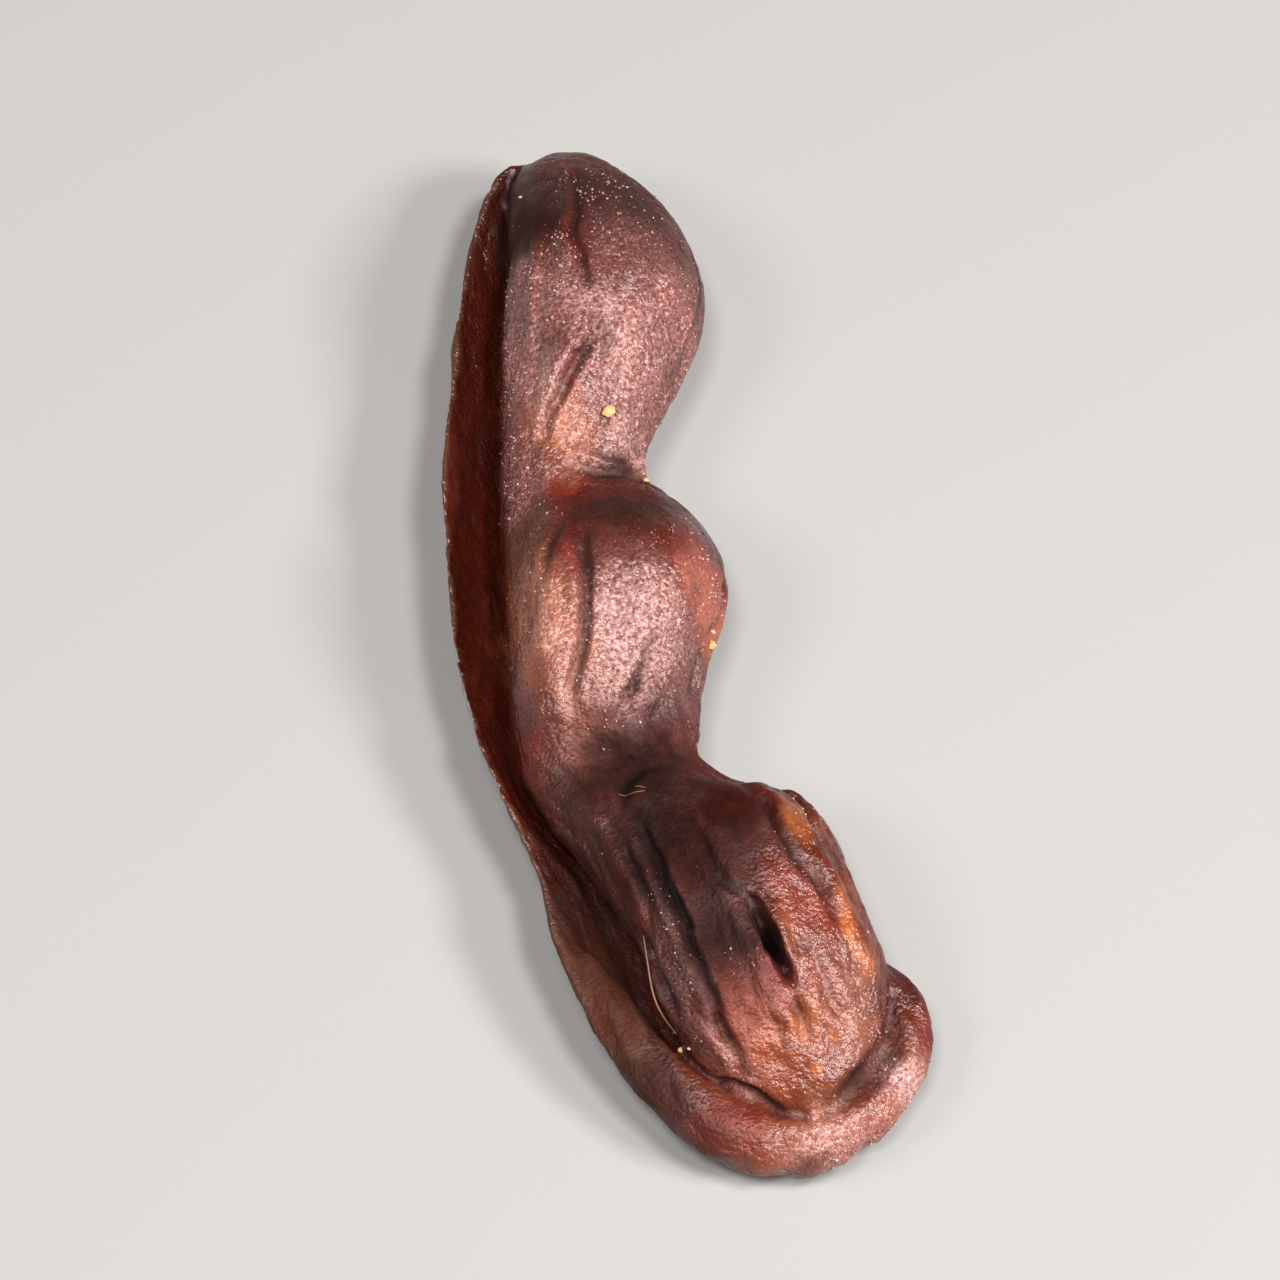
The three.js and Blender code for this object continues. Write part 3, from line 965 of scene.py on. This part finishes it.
def feed(tree, socket, value):  # value is a node's output, or a constant
    if isinstance(value, bpy.types.NodeSocket):
        tree.links.new(value, socket)
    else:
        socket.default_value = value


def addNode(tree, kind, inputs=None, **settings):
    made = tree.nodes.new(kind)
    for name, value in settings.items():
        setattr(made, name, value)
    for name, value in (inputs or {}).items():
        feed(tree, made.inputs[name], value)
    return made


def mixed(tree, amount, a, b):
    made = addNode(tree, "ShaderNodeMix", data_type="RGBA")
    for index, value in ((0, amount), (6, a), (7, b)):  # the sockets of a colour mix
        feed(tree, made.inputs[index], value)
    return made.outputs[2]


def maths(tree, operation, *values):
    return addNode(tree, "ShaderNodeMath", dict(enumerate(values)), operation=operation).outputs[0]


def product(tree, a, b):
    return maths(tree, "MULTIPLY", a, b)


def vectors(tree, operation, a, b):
    return addNode(tree, "ShaderNodeVectorMath", {0: a, 1: b}, operation=operation).outputs


def ranged(tree, value, fromLow, fromHigh, low, high):
    inputs = {"Value": value, "From Min": fromLow, "From Max": fromHigh, "To Min": low, "To Max": high}
    return addNode(tree, "ShaderNodeMapRange", inputs).outputs[0]


def noiseAt(tree, place, size, detail, roughness):
    inputs = {"Vector": place, "Scale": 1 / (size * mm), "Detail": detail, "Roughness": roughness}
    return addNode(tree, "ShaderNodeTexNoise", inputs).outputs[0]


def mottled(tree, place, name):
    size, detail, roughness, *ends = mottling[name]
    return ranged(tree, noiseAt(tree, place, size, detail, roughness), *ends)


def attribute(tree, name):
    return addNode(tree, "ShaderNodeAttribute", attribute_name=name).outputs["Fac"]


def objectPlace(tree):
    return addNode(tree, "ShaderNodeTexCoord").outputs["Object"]


def bumped(tree, sockets, height, depth):
    bump = addNode(tree, "ShaderNodeBump", {"Height": height, "Distance": depth * mm})
    tree.links.new(bump.outputs[0], sockets["Normal"])


def newGroup(name, masks, outputs):
    group = bpy.data.node_groups.new(name, "ShaderNodeTree")
    group.interface.new_socket("Place", in_out="INPUT", socket_type="NodeSocketVector")
    for label in masks:
        group.interface.new_socket(label, in_out="INPUT", socket_type="NodeSocketFloat")
    for label, kind in outputs.items():
        group.interface.new_socket(label, in_out="OUTPUT", socket_type=kind)
    return group, group.nodes.new("NodeGroupInput").outputs, group.nodes.new("NodeGroupOutput").inputs


tintMasks = ("Crease_shade", "Crest", "Flange", "Amber", "Ruby", "Painted_shadow", "Bloom_highlight", "Painted_highlight", "Plum")
grainMasks = ("Sleek", "Bloom_highlight", "Crease_shade")
glossMasks = ("Crease_shade", "Matte")


def tintGroup():
    tree, given, out = newGroup("pulpTint", tintMasks, {"Color": "NodeSocketColor"})
    place = given["Place"]
    look = pulpLook
    tint = mixed(tree, mottled(tree, place, "broad"), colour("flesh"), colour("red"))
    tint = mixed(tree, product(tree, mottled(tree, place, "fine"), look["duskShare"]), tint, colour("dusk_and_shadow"))
    # the flange: its own dark red with painted shade
    tint = mixed(tree, product(tree, given["Flange"], look["cradleAndShadeShare"]), tint, colour("cradle_and_shade"))
    patchy = mottled(tree, place, "patchy")
    # one of these patch kinds is painted shadow; the others are the pulp's own colours
    for mask, name in (("Plum", "plum"), ("Painted_shadow", "dusk_and_shadow"), ("Ruby", "ruby"), ("Amber", "amber")):
        tint = mixed(tree, product(tree, given[mask], patchy), tint, colour(name))
    specks = mottled(tree, place, "specks")
    # pale skin and its palest spots: painted highlight over the dry skin
    for mask, name in (("Bloom_highlight", "bloom_highlight"), ("Painted_highlight", "painted_highlight")):
        tint = mixed(tree, product(tree, given[mask], specks), tint, colour(name))
    # painted shade: creases and hollows turn near black
    tint = mixed(tree, product(tree, given["Crease_shade"], look["shadeBlackShare"]), tint, colour("shade_black"))
    dry = product(tree, given["Flange"], given["Crest"])
    tint = mixed(tree, product(tree, dry, look["dryShare"]), tint, colour("dry"))
    tree.links.new(tint, out["Color"])
    return tree


def grainGroup():
    tree, given, out = newGroup("pulpGrain", grainMasks, {"Height": "NodeSocketFloat"})
    place = given["Place"]
    look = pulpLook
    scale = 1 / (look["beadSize"] * mm)
    cells = addNode(tree, "ShaderNodeTexVoronoi", {"Vector": place, "Scale": scale}).outputs
    fine = product(tree, noiseAt(tree, place, *look["fineGrain"]), look["fineShare"])
    beads = product(tree, product(tree, cells["Distance"], cells["Distance"]), look["beadShare"])
    height = maths(tree, "SUBTRACT", fine, beads)
    height = product(tree, height, ranged(tree, given["Sleek"], 0, 1, 1, look["sleekGrain"]))
    away = vectors(tree, "SUBTRACT", place, cells["Position"])[0]
    lean = vectors(tree, "SUBTRACT", cells["Color"], look["middleTone"])[0]
    facets = vectors(tree, "DOT_PRODUCT", away, lean)["Value"]
    facets = product(tree, facets, look["facet"] / (look["facetLength"] * mm))
    facets = product(tree, facets, given["Bloom_highlight"])
    height = maths(tree, "ADD", product(tree, height, look["grainShare"]), facets)
    height = product(tree, height, ranged(tree, given["Crease_shade"], 0, 1, 1, 0))
    tree.links.new(height, out["Height"])
    return tree


def glossGroup():
    outputs = {"Roughness": "NodeSocketFloat", "Metallic": "NodeSocketFloat"}
    tree, given, out = newGroup("pulpGloss", glossMasks, outputs)
    dull = maths(tree, "MAXIMUM", given["Crease_shade"], given["Matte"])
    extra = product(tree, dull, pulpLook["dullRough"])
    tree.links.new(maths(tree, "ADD", mottled(tree, given["Place"], "wet"), extra), out["Roughness"])
    tree.links.new(product(tree, dull, pulpLook["dullMetal"]), out["Metallic"])
    return tree


def grouped(tree, group, place, masks, values):
    made = tree.nodes.new("ShaderNodeGroup")
    made.node_tree = group
    tree.links.new(place, made.inputs["Place"])
    for mask in masks:
        tree.links.new(values[mask], made.inputs[mask])
    return made.outputs


def pulpMaterial():
    material, tree, sockets = newMaterial("pulp")
    place = objectPlace(tree)
    values = {mask: attribute(tree, mask.lower()) for mask in (*tintMasks, "Sleek", "Matte")}
    tint = grouped(tree, tintGroup(), place, tintMasks, values)
    tree.links.new(tint["Color"], sockets["Base Color"])
    grain = grouped(tree, grainGroup(), place, grainMasks, values)
    bumped(tree, sockets, grain["Height"], pulpLook["bumpDepth"])
    gloss = grouped(tree, glossGroup(), place, glossMasks, values)
    for name in ("Roughness", "Metallic"):
        tree.links.new(gloss[name], sockets[name])
    setValues(sockets, pulpLook["shader"])
    return material


def fibreMaterial():
    material, tree, sockets = newMaterial("fibre")
    streaks = mottled(tree, objectPlace(tree), "fibreStreaks")
    tint = mixed(tree, streaks, colour("fibre", shell), colour("brown", shell))
    tree.links.new(tint, sockets["Base Color"])
    sockets["Roughness"].default_value = shell["fibreRoughness"]
    return material


def shellMaterial():
    material, tree, sockets = newMaterial("shell")
    place = objectPlace(tree)
    tint = mixed(tree, mottled(tree, place, "shellClouds"), colour("straw", shell), colour("pale", shell))
    tint = mixed(tree, mottled(tree, place, "shellSpots"), tint, colour("brown", shell))
    tree.links.new(tint, sockets["Base Color"])
    bumped(tree, sockets, noiseAt(tree, place, *shell["grain"]), shell["grainDepth"])
    sockets["Roughness"].default_value = shell["roughness"]
    return material


def grainMaterial():
    material, tree, sockets = newMaterial("grain")
    tint = mixed(tree, attribute(tree, "pale"), colour("dull", grains), colour("pale", grains))
    tree.links.new(tint, sockets["Base Color"])
    sockets["Roughness"].default_value = grains["roughness"]
    return material


addStudio()
print("studio ready")
huskObject = makeHusk()
huskObject.data.materials.append(pulpMaterial())
print("husk done")
huskTree = BVHTree.FromObject(huskObject, bpy.context.evaluated_depsgraph_get())
shellLook = shellMaterial()
for piece in (makeFlake(huskTree), makeCrumbs(huskTree)):
    piece.data.materials.append(shellLook)
makeFibres(huskTree).data.materials.append(fibreMaterial())
makeGrains(huskObject.data).data.materials.append(grainMaterial())
print("shell pieces done")
